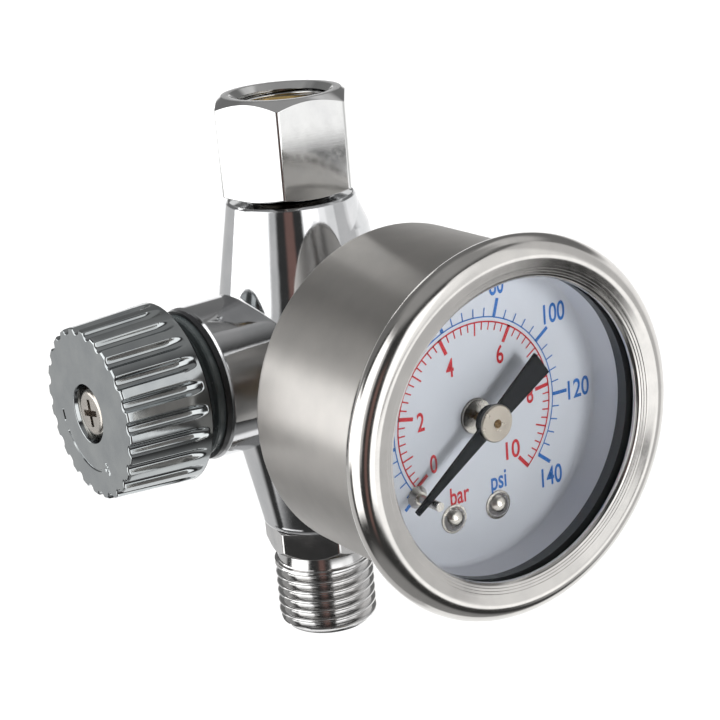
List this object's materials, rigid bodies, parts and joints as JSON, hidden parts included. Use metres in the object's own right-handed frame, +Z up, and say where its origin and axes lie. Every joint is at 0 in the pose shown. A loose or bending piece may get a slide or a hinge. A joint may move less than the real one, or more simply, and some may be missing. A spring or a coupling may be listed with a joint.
{
  "type": "air pressure regulator",
  "caption": "Inline air pressure regulator with a chromed casting, fluted adjusting knob, swivel nut outlet, male threaded inlet and a round dial gauge.",
  "frame": {"origin": "centre of the lower end of the male inlet thread, on the flow axis", "axes": "+Z up the flow axis from inlet to outlet, -Y the way the gauge faces, -X the way the adjusting knob points"},
  "size_m": [0.0538, 0.0561, 0.0717],
  "materials": {
    "chrome_casting": "polished plating over a casting",
    "chrome_turned": "polished plating, fine turning marks",
    "chrome_satin": "satin plating",
    "brushed_steel": "brushed round the axis",
    "steel_small": "machined",
    "spring_steel": "drawn wire",
    "brass": "machined",
    "black_rubber": "moulded",
    "black_metal": "black oxide, satin",
    "black_paint": "matt black paint",
    "dial_white": "satin white enamel",
    "clear_glass": "clear flat window",
    "red_fibre": "pressed fibre",
    "white_nylon": "turned nylon"
  },
  "bodies": {
    "housing": {"body": "chrome_casting", "inlet_nipple": "chrome_turned", "outlet_nipple": "brass", "outlet_seal": "black_rubber", "valve_seat": "brass", "poppet_spring": "spring_steel", "valve_plug": "chrome_turned", "plug_seal": "black_rubber", "range_spring": "spring_steel", "bonnet": "black_metal", "bonnet_seal": "black_rubber", "gauge_socket": "brass", "stem_seal": "red_fibre", "gauge_case": "brushed_steel", "gauge_bezel": "chrome_turned", "window_gasket": "black_rubber", "gauge_glass": "clear_glass", "dial": "dial_white", "dial_screws": "steel_small", "stop_pin": "steel_small", "bourdon_tube": "brass", "hairspring": "spring_steel", "plate_back": "brass", "plate_front": "steel_small", "movement_posts": "brass", "movement_screws": "steel_small", "case_screws": "steel_small"},
    "nut_ring": {"nut_ring": "spring_steel"},
    "swivel_nut": {"swivel_nut": "chrome_turned"},
    "knob": {"knob": "chrome_satin", "knob_screw": "steel_small", "spindle": "steel_small", "thrust_washer": "white_nylon"},
    "travel_nut": {"travel_nut": "brass"},
    "piston": {"piston": "brass", "piston_seal": "black_rubber"},
    "poppet": {"poppet": "brass", "poppet_seal": "black_rubber"},
    "pointer": {"pointer": "black_paint", "pointer_hub": "steel_small", "pinion": "brass"},
    "sector": {"sector_gear": "brass"},
    "link": {"link": "steel_small"}
  },
  "joints": [
    {"name": "nut_slide", "type": "slide", "parent": "housing", "child": "nut_ring", "axis": [0, 0, 1], "range_m": [0, 0.0048]},
    {"name": "nut_spin", "type": "hinge", "parent": "nut_ring", "child": "swivel_nut", "pos_m": [0, 0, 0.065], "axis": [0, 0, 1], "continuous": true},
    {"name": "knob_turn", "type": "hinge", "parent": "housing", "child": "knob", "pos_m": [0, 0, 0.0375], "axis": [1, 0, 0], "range_deg": [0, 1620]},
    {"name": "travel_nut_slide", "type": "slide", "parent": "housing", "child": "travel_nut", "axis": [1, 0, 0], "range_m": [0, 0.0045], "deforming": ["range_spring"]},
    {"name": "piston_slide", "type": "slide", "parent": "housing", "child": "piston", "axis": [1, 0, 0], "range_m": [0, 0.0008], "stiffness_N_per_m": 1500, "deforming": ["range_spring", "poppet_spring"]},
    {"name": "poppet_slide", "type": "slide", "parent": "housing", "child": "poppet", "axis": [1, 0, 0], "range_m": [0, 0.0008], "deforming": ["poppet_spring"]},
    {"name": "pointer_turn", "type": "hinge", "parent": "housing", "child": "pointer", "pos_m": [0, -0.031, 0.0375], "axis": [0, 1, 0], "range_deg": [0, 263], "stiffness_Nm_per_rad": 0.00001, "springref_deg": -28.65, "deforming": ["bourdon_tube", "hairspring"]},
    {"name": "sector_turn", "type": "hinge", "parent": "housing", "child": "sector", "pos_m": [0.00719, -0.031, 0.03712], "axis": [0, 1, 0], "range_deg": [-52.8, 0]},
    {"name": "link_turn", "type": "hinge", "parent": "sector", "child": "link", "pos_m": [0.01139, -0.031, 0.03712], "axis": [0, 1, 0], "range_deg": [0, 52.8]}
  ],
  "couplings": [
    {"joint": "travel_nut_slide", "follows": "knob_turn", "m_per_rad": 0.00015915},
    {"joint": "poppet_slide", "follows": "piston_slide", "ratio": 1},
    {"joint": "sector_turn", "follows": "pointer_turn", "ratio": -0.2},
    {"joint": "link_turn", "follows": "pointer_turn", "ratio": 0.2}
  ]
}
